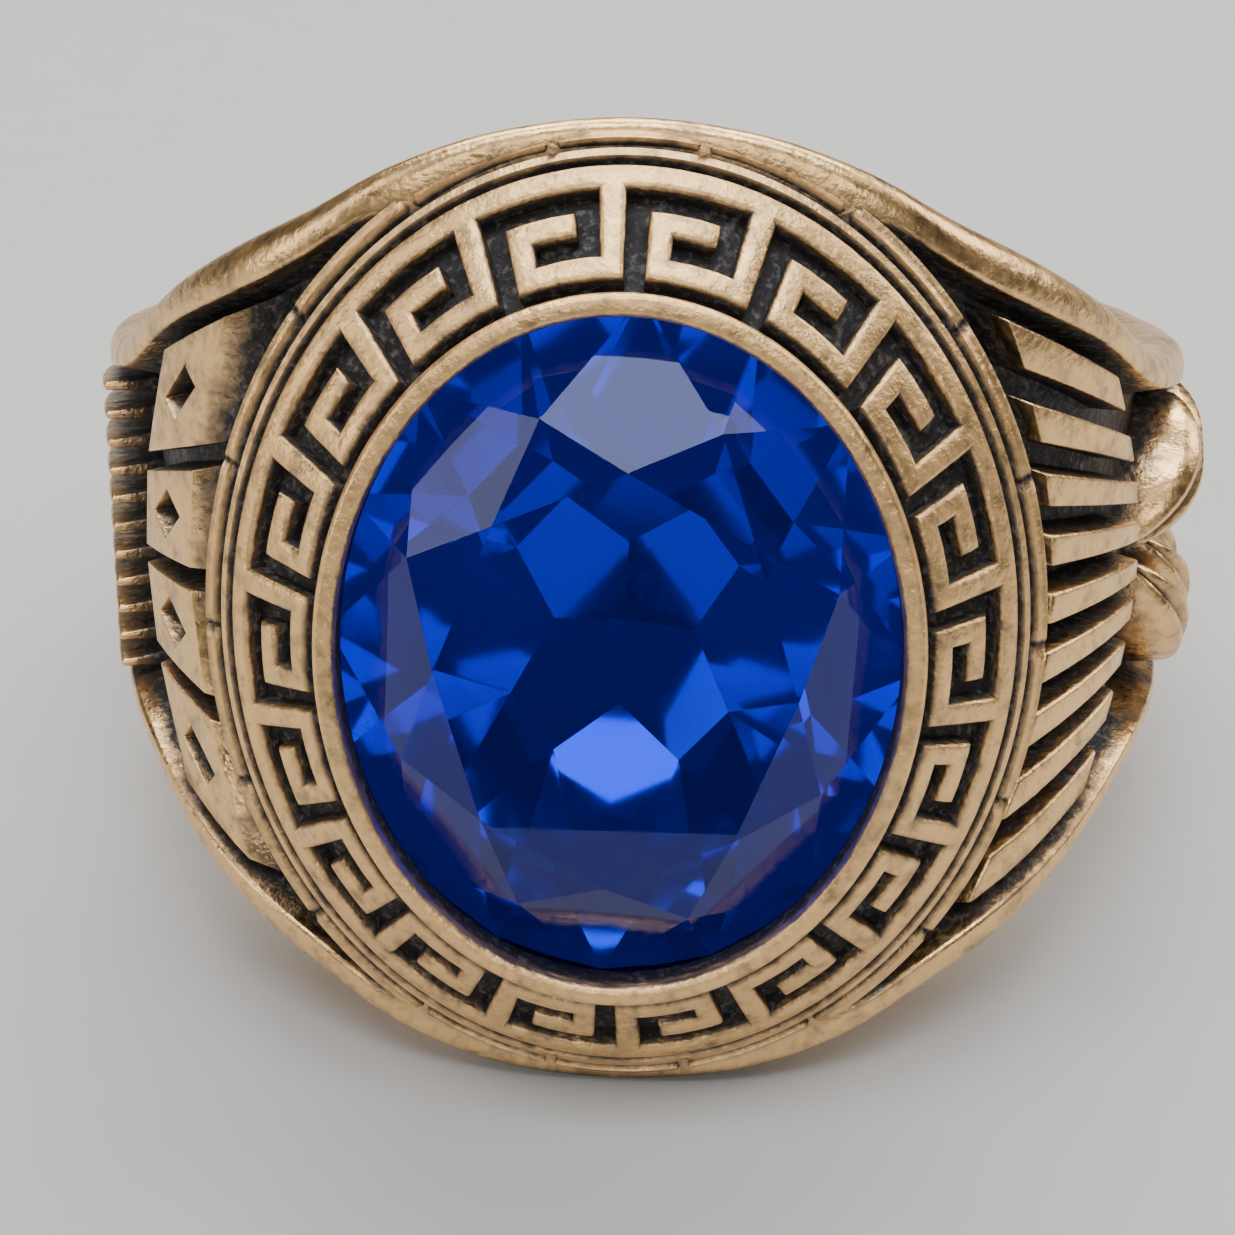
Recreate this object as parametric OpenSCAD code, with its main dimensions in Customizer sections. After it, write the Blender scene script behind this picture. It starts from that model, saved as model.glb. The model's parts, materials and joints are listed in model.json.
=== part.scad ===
// A class ring that lies on its side: one casting and the oval stone in its bezel.
// Lengths are in millimetres. The head is drawn with the stone facing +Z, the finger along Y,
// and the whole ring is then laid down on the edge of its head and the edge of its shank.

/* [Finger] */
// Diameter of the finger bore
bore_d = 19; // [15:0.1:23]

/* [Shank] */
// Metal between the bore and the outside at the back
back_wall = 1.7; // [1.3:0.1:2.6]
// Metal between the bore and the outside at the sides
side_wall = 1.9; // [1.7:0.1:2.8]
// Width of the shank at the back
back_w = 5.8; // [4:0.1:7.5]
// Width of the shank at the sides
side_w = 7.6; // [6.6:0.1:9]
// Depth of the sunk fields on the shoulders
field_depth = 0.95; // [0.4:0.05:1.2]

/* [Head] */
// Length of the oval rim, along the finger
rim_l = 17.2; // [16.4:0.1:18.4]
// Width of the oval rim, across the finger
rim_w = 14.5; // [13.8:0.1:15.6]
// Metal between the bore and the plane of the rim
head_wall = 3.4; // [3:0.1:4.2]
// How far the cheeks stand out past the rim's ends
cheek = 0.2; // [0.1:0.05:0.5]
// Height of the bezel's lip above the plane of the rim
band_rise = 1.9; // [1.4:0.1:2.6]
// Height of the raised ornament over its ground
relief_h = 0.4; // [0.2:0.05:0.55]
// Number of key ornaments round the band
key_count = 18; // [14:1:22]
// Width of the ornament's lines
key_line = 0.42; // [0.3:0.02:0.46]

/* [Stone] */
// Length of the stone
stone_l = 12; // [11:0.1:12.6]
// Width of the stone
stone_w = 10; // [9:0.1:10.6]
// Height of the stone's crown over its girdle
crown_h = 1.85; // [1.5:0.05:2.2]
// Depth of the stone below its girdle
pavilion_h = 3.7; // [3.2:0.05:3.8]
// How far the girdle lies below the top of the lip
girdle_drop = 1; // [0.9:0.05:1.2]
// Thickness of the girdle
girdle_h = 0.3; // [0.2:0.05:0.4]
// How far the lip covers the stone at its sides
grip_side = 0.26; // [0.1:0.02:0.4]
// How far the lip covers the stone at its ends
grip_end = 0.14; // [0.1:0.02:0.3]
// Width of the lip
lip_w = 0.4; // [0.3:0.05:0.6]
// Gap between the stone and the metal
stone_gap = 0.06; // [0.03:0.01:0.12]

/* [Hidden] */

bore_r = bore_d / 2;
rim_n = bore_r + head_wall;
lip_n = rim_n + band_rise;
head_half = rim_l / 2 + cheek;
girdle_n = lip_n - girdle_drop;
table_n = girdle_n + crown_h;

// Sections of the shank, from the stone round to the back. Walls and widths are shares of
// the named sizes at the head, the sides and the back.
A = 0;
WALL_HEAD = 1;
WALL_SIDE = 2;
WALL_BACK = 3;
W_HEAD = 4;
W_SIDE = 5;
W_BACK = 6;
EDGE = 7;
FIELD = 8;
LEAN = 9;
//   angle  wall: head side back   width: head side back   edge  field  lean
shank_rows = [
    [0,     1.00, 0.00, 0.00,      1.00, 0.00, 0.00,       0.30, 0,     0.42],
    [10,    1.07, 0.00, 0.00,      0.97, 0.00, 0.00,       0.36, 0,     0.38],
    [18,    1.17, 0.00, 0.00,      0.90, 0.00, 0.00,       0.60, 0,     0.32],
    [24,    1.21, 0.00, 0.00,      0.82, 0.00, 0.00,       0.80, 1,     0.28],
    [32,    1.18, 0.00, 0.00,      0.71, 0.05, 0.00,       0.86, 1,     0.24],
    [40,    0.85, 0.43, 0.00,      0.54, 0.23, 0.00,       0.78, 1,     0.20],
    [50,    0.55, 0.76, 0.00,      0.31, 0.46, 0.00,       0.72, 1,     0.16],
    [60,    0.30, 0.98, 0.00,      0.16, 0.70, 0.00,       0.72, 1,     0.12],
    [70,    0.12, 1.10, 0.00,      0.07, 0.88, 0.00,       0.76, 1,     0.10],
    [80,    0.03, 1.08, 0.00,      0.02, 0.97, 0.00,       0.82, 1,     0.08],
    [90,    0.00, 1.00, 0.00,      0.00, 1.00, 0.00,       0.90, 1,     0.08],
    [100,   0.00, 0.76, 0.24,      0.00, 0.94, 0.06,       0.85, 0.5,   0.08],
    [110,   0.00, 0.50, 0.50,      0.00, 0.78, 0.24,       0.80, 0,     0.08],
    [130,   0.00, 0.18, 0.82,      0.00, 0.42, 0.64,       0.70, 0,     0.08],
    [150,   0.00, 0.00, 1.00,      0.00, 0.14, 0.95,       0.65, 0,     0.08],
    [165,   0.00, 0.00, 1.00,      0.00, 0.03, 0.99,       0.60, 0,     0.08],
    [180,   0.00, 0.00, 1.00,      0.00, 0.00, 1.00,       0.60, 0,     0.08],
];

function lerp(a, b, t) = a + (b - a) * t;

// Smooth reading of one column of a table at an angle
function slope(rows, col, i) =
    i == 0 || i == len(rows) - 1 ? 0
        : (rows[i + 1][col] - rows[i - 1][col]) / (rows[i + 1][A] - rows[i - 1][A]);
function bend(p, q, from, to, t) =
    lerp(p, q, t * t * (3 - 2 * t)) + from * t * pow(1 - t, 2) - to * t * t * (1 - t);
function read(rows, col, a, i = 0) =
    i < len(rows) - 2 && a > rows[i + 1][A] ? read(rows, col, a, i + 1)
        : let (run = rows[i + 1][A] - rows[i][A])
            bend(rows[i][col], rows[i + 1][col], slope(rows, col, i) * run, slope(rows, col, i + 1) * run,
                (a - rows[i][A]) / run);

function shank(col, a) = read(shank_rows, col, abs(a));

function wall(a) =
    shank(WALL_HEAD, a) * head_wall + shank(WALL_SIDE, a) * side_wall + shank(WALL_BACK, a) * back_wall;

function half_width(a) =
    shank(W_HEAD, a) * head_half + (shank(W_SIDE, a) * side_w + shank(W_BACK, a) * back_w) / 2;

function outer_r(a) = bore_r + wall(a);

// Half of a section, from the bore over the rounded cheek to the floor of the sunk field
field_draft = 0.25;
bore_reach = 0.6;
function half_section(a) =
    let (
        r = outer_r(a),
        w = half_width(a),
        e = shank(EDGE, a),
        d = max(0, min(1, shank(FIELD, a))) * field_depth
    )
    [
        [bore_r - bore_reach, w - shank(LEAN, a) * (wall(a) + bore_reach)],
        [r - 0.9 * e, w],
        [r - 0.35 * e, w - 0.12 * e],
        [r - 0.08 * e, w - 0.45 * e],
        [r, w - e],
        [r - d, w - e - field_draft],
    ];

function section(a) =
    let (half = half_section(a), last = len(half) - 1)
    concat(half, [for (i = [last:-1:0]) [half[i][0], -half[i][1]]]);

// Skin of a closed solid from rows of as many points each. Rows follow one another in a loop,
// or end in two flat caps.
module skin(rows, loop = false) {
    m = len(rows[0]);
    n = len(rows);
    last = loop ? n - 1 : n - 2;
    sides = [
        for (i = [0:last], j = [0:m - 1])
            let (
                p = i * m + j,
                q = i * m + (j + 1) % m,
                r = ((i + 1) % n) * m + (j + 1) % m,
                s = ((i + 1) % n) * m + j
            )
            each [[p, r, q], [p, s, r]]
    ];
    caps = loop ? [] : [
        [for (j = [0:m - 1]) j],
        [for (j = [m - 1:-1:0]) (n - 1) * m + j],
    ];
    polyhedron([for (row = rows) each row], concat(sides, caps), convexity = 12);
}

shank_step = 5;
module shank_blank() {
    skin([
        for (a = [-180:shank_step:180 - shank_step])
            [for (p = section(a)) [p[0] * sin(a), p[1], p[0] * cos(a)]]
    ], loop = true);
}

// Ovals round the head
oval_sides = 72;
function oval(half_w, half_l, n) =
    [for (i = [0:oval_sides - 1])
        [half_w * cos(i * 360 / oval_sides), half_l * sin(i * 360 / oval_sides), n]];

module ovals(rows) {
    skin([for (r = rows) oval(r[0], r[1], r[2])]);
}

lip_in_w = stone_w / 2 - grip_side;
lip_in_l = stone_l / 2 - grip_end;
lip_out_w = lip_in_w + lip_w;
lip_out_l = lip_in_l + lip_w;
lip_drop = 0.22;

// A place on the band: u in degrees round the oval, s as a share of the way from rim to lip,
// h above the ground of the ornament
band_run = (rim_w / 2 - lip_out_w + rim_l / 2 - lip_out_l) / 2;
band_climb = band_rise - lip_drop;
band_len = norm([band_run, band_climb]);
function band_w(s, h) = lerp(rim_w / 2, lip_out_w, s) + (h - relief_h) * band_climb / band_len;
function band_l(s, h) = lerp(rim_l / 2, lip_out_l, s) + (h - relief_h) * band_climb / band_len;
function band_n(s, h) = lerp(rim_n, lip_n - lip_drop, s) + (h - relief_h) * band_run / band_len;
function band(u, s, h) = [band_w(s, h) * cos(u), band_l(s, h) * sin(u), band_n(s, h)];
function band_row(s, h) = [band_w(s, h), band_l(s, h), band_n(s, h)];

// The head's skin outside the band of ornament: ovals as [half width, half length, height].
// Its root is sunk in the shank, its rim has two ridges, and its lip is eased at the outside.
ridge_s = 0.045;
ridge_groove = 0.14;
root_rise = 0.8;
root_in_w = 0.7;
root_in_l = 1.3;
rim_skirt = 0.3;
ease = 0.03;
rim_rows = [
    [rim_w / 2 - root_in_w, rim_l / 2 - root_in_l, bore_r + root_rise],
    [rim_w / 2 - 4 * ease, rim_l / 2 - 4 * ease, rim_n - rim_skirt],
    band_row(-0.02, relief_h - ease),
    band_row(ridge_s, relief_h),
    band_row(2 * ridge_s, relief_h - ridge_groove),
    band_row(3 * ridge_s, relief_h),
    band_row(3.6 * ridge_s, 0),
];
lip_rows = [
    band_row(0.965, relief_h * 0.3),
    band_row(1, relief_h * 0.7),
    [lip_out_w - ease, lip_out_l - ease, lip_n - 2 * ease],
    [lip_out_w - 4 * ease, lip_out_l - 4 * ease, lip_n],
    [lip_in_w, lip_in_l, lip_n],
];

// Key pattern. Column and row edges of one repeat, and the chart of its raised cells, from the
// row next to the rim to the row next to the lip.
key_low = 0.2;
key_high = 0.92;
key_rows = 3;
key_gap = ((key_high - key_low) * band_len - key_rows * key_line) / (key_rows - 1);
key_chart = [
    [1, 1, 1, 1, 1],
    [1, 0, 0, 0, 0],
    [1, 0, 1, 1, 0],
    [1, 0, 0, 1, 0],
    [1, 1, 1, 1, 0],
];
band_round = 2 * PI * sqrt((pow(band_w(0.5, 0), 2) + pow(band_l(0.5, 0), 2)) / 2);
key_pitch = band_round / key_count;
key_cols = [0, key_line, key_line + key_gap, key_pitch - key_gap - key_line, key_pitch - key_gap, key_pitch];
key_s = [
    for (i = [0:len(key_chart)])
        key_low + (ceil(i / 2) * key_line + floor(i / 2) * key_gap) / band_len
];

// Degrees round the oval for a distance along the band, evened out between its ends and sides
oval_even = (band_l(0.5, 0) / band_w(0.5, 0) - 1) / 4 * 180 / PI;
function band_u(x) = let (t = 90 + x / band_round * 360) t - oval_even * sin(2 * t);

// The head with its key ornament. Each corner of the key's grid has a point on the ground and one
// on top, and a wall stands wherever a raised cell meets a bare one.
key_draft = 0.05;
module head_blank() {
    cols = len(key_cols) - 1;
    rows = len(key_chart);
    across = key_count * cols;
    function raised(i, j) = j < 0 || j >= rows ? 0 : key_chart[j][(i + across) % cols];
    function lean(i, j) = [
        sign(raised(i, j) + raised(i, j - 1) - raised(i - 1, j) - raised(i - 1, j - 1)),
        sign(raised(i, j) + raised(i - 1, j) - raised(i, j - 1) - raised(i - 1, j - 1)),
    ] * key_draft;
    function along(i) = floor(i / cols) * key_pitch + key_cols[i % cols];
    function on_oval(row, i) =
        let (u = band_u(along(i)))
        [row[0] * cos(u), row[1] * sin(u), row[2]];
    function key_top(i, j) =
        let (d = lean(i, j))
        band(band_u(along(i) + d[0]), key_s[j] + d[1] / band_len, relief_h);

    ground_rows = concat(rim_rows, [for (s = key_s) band_row(s, 0)], lip_rows);
    first = len(rim_rows);
    total = len(ground_rows);
    function ground(i, j) = (first + j) * across + i % across;
    function top(i, j) = (total + j) * across + i % across;
    function square(a, b, c, d) = [[a, b, c], [a, c, d]];
    points = concat(
        [for (row = ground_rows, i = [0:across - 1]) on_oval(row, i)],
        [for (j = [0:rows], i = [0:across - 1]) key_top(i, j)]
    );
    plain = [
        for (r = [0:total - 2])
            if (r < first || r >= first + rows)
                for (i = [0:across - 1])
                    let (a = r * across + i, b = r * across + (i + 1) % across)
                    each square(a, a + across, b + across, b)
    ];
    cells = [
        for (j = [0:rows - 1], i = [0:across - 1])
            each raised(i, j)
                ? square(top(i, j), top(i, j + 1), top(i + 1, j + 1), top(i + 1, j))
                : square(ground(i, j), ground(i, j + 1), ground(i + 1, j + 1), ground(i + 1, j))
    ];
    walls = [
        for (j = [0:rows], i = [0:across - 1])
            each concat(
                j == rows || raised(i, j) == raised(i - 1, j) ? []
                    : raised(i, j)
                        ? square(ground(i, j), ground(i, j + 1), top(i, j + 1), top(i, j))
                        : square(top(i, j), top(i, j + 1), ground(i, j + 1), ground(i, j)),
                raised(i, j) == raised(i, j - 1) ? []
                    : raised(i, j)
                        ? square(ground(i + 1, j), ground(i, j), top(i, j), top(i + 1, j))
                        : square(top(i + 1, j), top(i, j), ground(i, j), ground(i + 1, j))
            )
    ];
    caps = [
        [for (i = [0:across - 1]) i],
        [for (i = [across - 1:-1:0]) (total - 1) * across + i],
    ];
    polyhedron(points, concat(plain, cells, walls, caps), convexity = 12);
}

// Facets of the stone: shares of its radius at which they meet, and their heights from the girdle.
// Below the girdle a facet on each axis ends in a tip short of the culet, and the knees beside it
// are the outer corners of the four facets that meet at the culet.
table_share = 0.595;
star_share = 0.76;
tip_share = 0.25;
knee_share = 0.45;
knee_angle = 30;
knee_x = knee_share * cos(knee_angle);
knee_y = knee_share * sin(knee_angle);
star_n = crown_h * (1 - star_share * cos(22.5)) / (1 - table_share);
culet_slope = pavilion_h * (knee_x - tip_share)
    / ((1 - tip_share) * (knee_x + knee_y) - tip_share * (1 - knee_x));
tip_n = culet_slope * tip_share - pavilion_h;
knee_n = culet_slope * (knee_x + knee_y) - pavilion_h;

// The well for the stone: the lip's opening, the groove that holds the girdle, the seat below it
// that follows the stone, and the open bottom
back_share = 0.1;
back_skin = 0.25;
module stone_well() {
    top = girdle_n + stone_gap;
    low = girdle_n - girdle_h - stone_gap;
    well_w = stone_w / 2 + stone_gap;
    well_l = stone_l / 2 + stone_gap;
    seat = 2 * stone_gap;
    over_crown = star_n / (1 - star_share) * grip_side / (stone_w / 2);
    ovals([
        [well_w * back_share, well_l * back_share, 0],
        [well_w * back_share, well_l * back_share, bore_r + back_skin],
        [tip_share * stone_w / 2 + seat, tip_share * stone_l / 2 + seat, low + tip_n],
        [knee_share * stone_w / 2 + seat, knee_share * stone_l / 2 + seat, low + knee_n],
        [well_w, well_l, low],
        [well_w, well_l, top],
        [lip_in_w, lip_in_l, top + over_crown],
        [lip_in_w, lip_in_l, table_n],
    ]);
}

// A raised block on a shoulder. Corners are [angle from the stone, distance along the finger],
// and its top stands at h over the shank's outer surface.
block_draft = 0.14;
block_drop = 0.12;
block_root = 0.2;
block_steps = 3;
module shoulder_block(corners, h = -block_drop) {
    long = (corners[1][0] - corners[0][0]) * PI / 180 * outer_r(corners[0][0]);
    wide = abs(corners[3][1] - corners[0][1]);
    function corner(s, t) = lerp(lerp(corners[0], corners[1], s), lerp(corners[3], corners[2], s), t);
    function place(p, lift) =
        let (r = outer_r(p[0]) + lift)
        [r * sin(p[0]), p[1], r * cos(p[0])];
    function ring(s, lift, draft) =
        let (ds = draft / long, dt = draft / wide)
        [for (t = [dt, 1 - dt]) place(corner(lerp(ds, 1 - ds, s), t), lift)];
    skin([
        for (i = [0:block_steps])
            let (
                s = i / block_steps,
                bottom = ring(s, -field_depth - block_root, 0),
                top = ring(s, h, block_draft)
            )
            [bottom[1], top[1], top[0], bottom[0]]
    ]);
}

// Half of the room between the crests at an angle, and a place at a share of it
crest_gap = 0.15;
function room(a) = half_width(a) - shank(EDGE, a) - crest_gap;
function on_shoulder(q, a) = [a, q * room(a)];

// Angle of the rim's outline where a share of the room meets it
rim_meets = 32;
function rim_angle(q) =
    asin(min(1, rim_w / 2 * sqrt(1 - pow(q * room(rim_meets) / (rim_l / 2), 2)) / outer_r(rim_meets)));

// A block from the rim's outline outwards, between two shares of the room
function along_rim(q0, q1, gap, end0, end1) =
    [on_shoulder(q0, rim_angle(q0) + gap), on_shoulder(q0, end0),
        on_shoulder(q1, end1), on_shoulder(q1, rim_angle(q1) + gap)];

// Right shoulder: bars that fan out between the rim and a groove, and a sprig beyond it
bar_count = 9;
bar_share = 0.68;
bar_start = 3;
bar_end = 52;
bar_taper = 9;
module bar_stack() {
    pitch = 2 / bar_count;
    for (i = [0:bar_count - 1]) {
        q0 = (i + 0.5 - bar_share / 2) * pitch - 1;
        q1 = q0 + pitch * bar_share;
        shoulder_block(along_rim(q0, q1, bar_start,
            bar_end - bar_taper * q0 * q0, bar_end - bar_taper * q1 * q1));
    }
}

// A leaf that lies along X, pointed at both ends, with a crease down its middle. Its section is
// [share of the half width, share of the height].
leaf_l = 3.8;
leaf_w = 1.7;
leaf_h = 1.7;
leaf_section = [[-1, -0.3], [-0.85, 0.35], [-0.4, 1], [0, 0.7], [0.4, 1], [0.85, 0.35], [1, -0.3]];
module leaf() {
    skin([
        for (t = [0.97:-1.94 / 6:-0.98])
            let (full = pow(1 - t * t, 0.75))
            [for (p = leaf_section)
                [t * leaf_l / 2, p[0] * full * leaf_w / 2, p[1] * (p[1] < 0 ? 1 : lerp(full, 1, 0.25)) * leaf_h]]
    ]);
}

// Sprig on the right shoulder: pairs of leaves along a stem, and one leaf at its end
first_pair = 61;
last_pair = 91;
pair_step = 10;
leaf_turn = 48;
stem_gap = 0.1;
module sprig() {
    reach = leaf_l / 2 * sin(leaf_turn) + stem_gap;
    for (a = [first_pair:pair_step:last_pair], side = [-1, 1])
        leaf_at(a, side * reach, side * leaf_turn);
    leaf_at(last_pair + pair_step, 0, 0);
}
module leaf_at(a, y, turn) {
    rotate([0, a, 0])
        translate([0, y, outer_r(a) - field_depth])
            rotate([0, 0, turn])
                leaf();
}

// Left shoulder: four large blocks that follow the rim, and a column of small bars beyond them
stud_count = 4;
stud_share = 0.88;
stud_start = 3;
stud_angle = 12;
module stud_column() {
    pitch = 2 / stud_count;
    for (i = [0:stud_count - 1]) {
        q0 = (i + 0.5 - stud_share / 2) * pitch - 1;
        q1 = q0 + pitch * stud_share;
        shoulder_block(along_rim(q0, q1, stud_start,
            rim_angle(q0) + stud_start + stud_angle, rim_angle(q1) + stud_start + stud_angle));
    }
}

small_bars = 11;
small_bar_rise = 0.2;
small_bar_share = 0.6;
small_bar_start = 58;
small_bar_end = 82;
module small_bar_column() {
    pitch = 2 / small_bars;
    for (i = [0:small_bars - 1]) {
        q0 = (i + 0.5 - small_bar_share / 2) * pitch - 1;
        q1 = q0 + pitch * small_bar_share;
        shoulder_block([on_shoulder(q0, small_bar_start), on_shoulder(q0, small_bar_end),
            on_shoulder(q1, small_bar_end), on_shoulder(q1, small_bar_start)], h = small_bar_rise);
    }
}

// Oval brilliant. Corners are a share of the radius and a height: the crown has a table, stars,
// kites and upper facets, and the pavilion has four facets round the culet, four kites on the axes,
// four triangles between them and the lower facets. The girdle's corners between two others lie on
// the plane of the facet that they end.
facet_turn = -3;
girdle_split = 2;
module oval_brilliant() {
    count = 16 * girdle_split;
    step = 360 / count;
    function corner(share, a, n) =
        [share * stone_w / 2 * cos(a + facet_turn), share * stone_l / 2 * sin(a + facet_turn), n];
    // Height at the girdle of the facet that runs from two girdle corners to a point
    function at_girdle(k, share, a, n) =
        let (middle = (floor(k / girdle_split) + 0.5) * 22.5, flat = cos(11.25))
        n * (flat - cos(k * step - middle)) / (flat - share * cos(middle - a));
    function star_a(k) = floor(k * step / 45) * 45 + 22.5;
    function knee_a(k) =
        let (q = floor(k * step / 90) * 90)
        k * step - q < 45 ? q + knee_angle : q + 90 - knee_angle;
    points = concat(
        [for (k = [0:7]) corner(table_share, k * 45, crown_h)],
        [for (k = [0:7]) corner(star_share, k * 45 + 22.5, star_n)],
        [for (k = [0:count - 1]) corner(1, k * step, at_girdle(k, star_share, star_a(k), star_n))],
        [for (k = [0:count - 1]) corner(1, k * step, at_girdle(k, knee_share, knee_a(k), knee_n) - girdle_h)],
        [for (q = [0:3], side = [-1, 1]) corner(knee_share, q * 90 + side * knee_angle, knee_n - girdle_h)],
        [for (q = [0:3]) corner(tip_share, q * 90, tip_n - girdle_h)],
        [[0, 0, -girdle_h - pavilion_h]]
    );
    half = count / 8;
    function table(k) = k % 8;
    function star(k) = 8 + (k + 8) % 8;
    function upper(k) = 16 + k % count;
    function lower(k) = 16 + count + k % count;
    function knee(k) = 16 + 2 * count + (k + 8) % 8;
    function tip(q) = 24 + 2 * count + q % 4;
    culet = 28 + 2 * count;
    faces = concat(
        [[for (k = [7:-1:0]) table(k)]],
        [for (k = [0:7]) [table(k), table(k + 1), star(k)]],
        [for (k = [0:7]) [table(k), star(k), upper(k * half), star(k - 1)]],
        [for (k = [0:7], side = [0, 1])
            [star(k), for (m = [girdle_split:-1:0]) upper(k * half + side * girdle_split + m)]],
        [for (k = [0:count - 1]) [upper(k), upper(k + 1), lower(k + 1), lower(k)]],
        [for (k = [0:7], side = [0, 1])
            [knee(k + 1), for (m = [0:girdle_split]) lower(k * half + side * girdle_split + m)]],
        [for (q = [0:3]) [tip(q), knee(2 * q), lower(2 * q * half), knee(2 * q + 1)]],
        [for (q = [0:3]) [knee(2 * q + 1), lower((2 * q + 1) * half), knee(2 * q + 2)]],
        [for (q = [0:3]) [culet, tip(q), knee(2 * q + 1), knee(2 * q + 2), tip(q + 1)]]
    );
    polyhedron(points, faces, convexity = 2);
}

// The ring rests on the lower edge of its head and on the lower edge of its shank's back. The
// tilt at which both touch the ground is found by halving.
function low_point(from, to, t) =
    min([for (a = [from:shank_step:to], p = half_section(a)) p[0] * cos(a) * sin(t) - p[1] * cos(t)]);
function resting_tilt(from = 0, to = 40, rounds = 24) =
    let (t = (from + to) / 2)
    rounds == 0 ? t
        : low_point(0, 90, t) < low_point(90, 180, t) ? resting_tilt(t, to, rounds - 1)
            : resting_tilt(from, t, rounds - 1);
tilt = resting_tilt();
front_y = table_n * cos(tilt) + table_share * stone_l / 2 * sin(tilt);
back_y = max([for (p = half_section(180)) p[0] * cos(tilt) + p[1] * sin(tilt)]);
module lie_down() {
    translate([0, (front_y - back_y) / 2, -low_point(0, 180, tilt)])
        rotate([90 - tilt, 0, 0])
            children();
}

module casting() {
    difference() {
        union() {
            shank_blank();
            head_blank();
            bar_stack();
            sprig();
            mirror([1, 0, 0]) {
                stud_column();
                small_bar_column();
            }
        }
        stone_well();
    }
}

module ring_body() {
    color("darkgoldenrod")
        lie_down()
            difference() {
                casting();
                rotate([90, 0, 0])
                    cylinder(d = bore_d, h = 3 * rim_l, center = true, $fn = 96);
            }
}

module stone() {
    color("mediumblue")
        lie_down()
            translate([0, 0, girdle_n])
                oval_brilliant();
}

ring_body();
stone();
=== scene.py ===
"""A class ring that lies on its side on a pale floor, built piece by piece by the operators of an add-on."""

import json
import math

import bpy
from mathutils import Matrix, Vector

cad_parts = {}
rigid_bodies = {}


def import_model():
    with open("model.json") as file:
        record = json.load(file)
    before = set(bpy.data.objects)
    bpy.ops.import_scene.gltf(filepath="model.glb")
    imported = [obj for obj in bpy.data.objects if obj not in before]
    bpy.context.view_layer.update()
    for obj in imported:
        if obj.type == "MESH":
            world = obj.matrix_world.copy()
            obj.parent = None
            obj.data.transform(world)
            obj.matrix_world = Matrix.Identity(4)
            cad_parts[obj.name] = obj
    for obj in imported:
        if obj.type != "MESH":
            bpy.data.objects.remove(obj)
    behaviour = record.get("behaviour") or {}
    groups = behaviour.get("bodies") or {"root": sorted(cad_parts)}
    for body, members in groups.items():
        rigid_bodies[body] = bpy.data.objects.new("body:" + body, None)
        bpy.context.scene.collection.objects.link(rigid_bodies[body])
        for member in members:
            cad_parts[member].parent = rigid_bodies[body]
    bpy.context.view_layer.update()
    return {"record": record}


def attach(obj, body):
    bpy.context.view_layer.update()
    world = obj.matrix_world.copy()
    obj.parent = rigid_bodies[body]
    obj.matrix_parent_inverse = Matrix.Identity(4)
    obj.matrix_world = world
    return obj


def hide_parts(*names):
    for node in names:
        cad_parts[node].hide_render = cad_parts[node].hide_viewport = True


bl_info = {
    "name": "Class ring",
    "version": (1, 0, 0),
    "blender": (4, 5, 0),
    "location": "View3D > Sidebar > Ring",
    "description": "Builds an antiqued gold class ring with an oval stone, its floor, lights and camera",
    "category": "Add Mesh",
}

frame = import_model()
FINGER = frame["record"]["mounts"][0]
MM = 0.001


def lying():
    """From the ring's own axes (stone along +Z, finger along Y) to where it lies."""
    along = Vector(FINGER["axis"]).normalized()
    across = Vector((1, 0, 0))
    turn = Matrix((across, along, across.cross(along))).transposed().to_4x4()
    return Matrix.Translation(FINGER["pos_m"]) @ turn


LYING = lying()


# ---------------------------------------------------------------- sizes and colours


def length(name, description, default):
    return bpy.props.FloatProperty(name=name, description=description, default=default, unit="LENGTH", precision=5)


def colour(name, description, default):
    return bpy.props.FloatVectorProperty(
        name=name, description=description, default=default, size=4, subtype="COLOR", min=0, max=1)


class RingSizes(bpy.types.PropertyGroup):
    """Sizes of the casting and the stone"""
    bore: length("Finger bore", "Diameter of the finger bore", 2 * FINGER["dims"]["r_mm"] * MM)
    back_wall: length("Wall at the back", "Metal behind the finger", 0.0017)
    side_wall: length("Wall at the sides", "Metal beside the finger", 0.0019)
    head_wall: length("Wall at the head", "Metal from the bore to the rim", 0.0034)
    back_width: length("Width at the back", "Width of the shank at the back", 0.0058)
    side_width: length("Width at the sides", "Width of the shank at the sides", 0.0076)
    field: length("Field depth", "Depth of the sunk fields on the shoulders", 0.00095)
    rim_length: length("Rim length", "Length of the oval rim", 0.0172)
    rim_width: length("Rim width", "Width of the oval rim", 0.0145)
    cheek: length("Cheek", "How far the cheeks stand out past the rim", 0.0002)
    band_rise: length("Band rise", "Height of the lip above the rim", 0.0019)
    relief: length("Relief", "Height of the ornament over its ground", 0.0004)
    key_line: length("Key line", "Width of the lines of the key border", 0.00042)
    keys: bpy.props.IntProperty(name="Keys", description="Repeats of the key border", default=18, min=12, max=24)
    stone_length: length("Stone length", "Length of the oval stone", 0.012)
    stone_width: length("Stone width", "Width of the oval stone", 0.010)
    crown: length("Crown", "Height of the stone over its girdle", 0.00185)
    pavilion: length("Pavilion", "Depth of the stone below its girdle", 0.0037)
    girdle: length("Girdle", "Thickness of the girdle", 0.0003)
    girdle_drop: length("Girdle drop", "How far the girdle lies below the top of the lip", 0.001)


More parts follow.
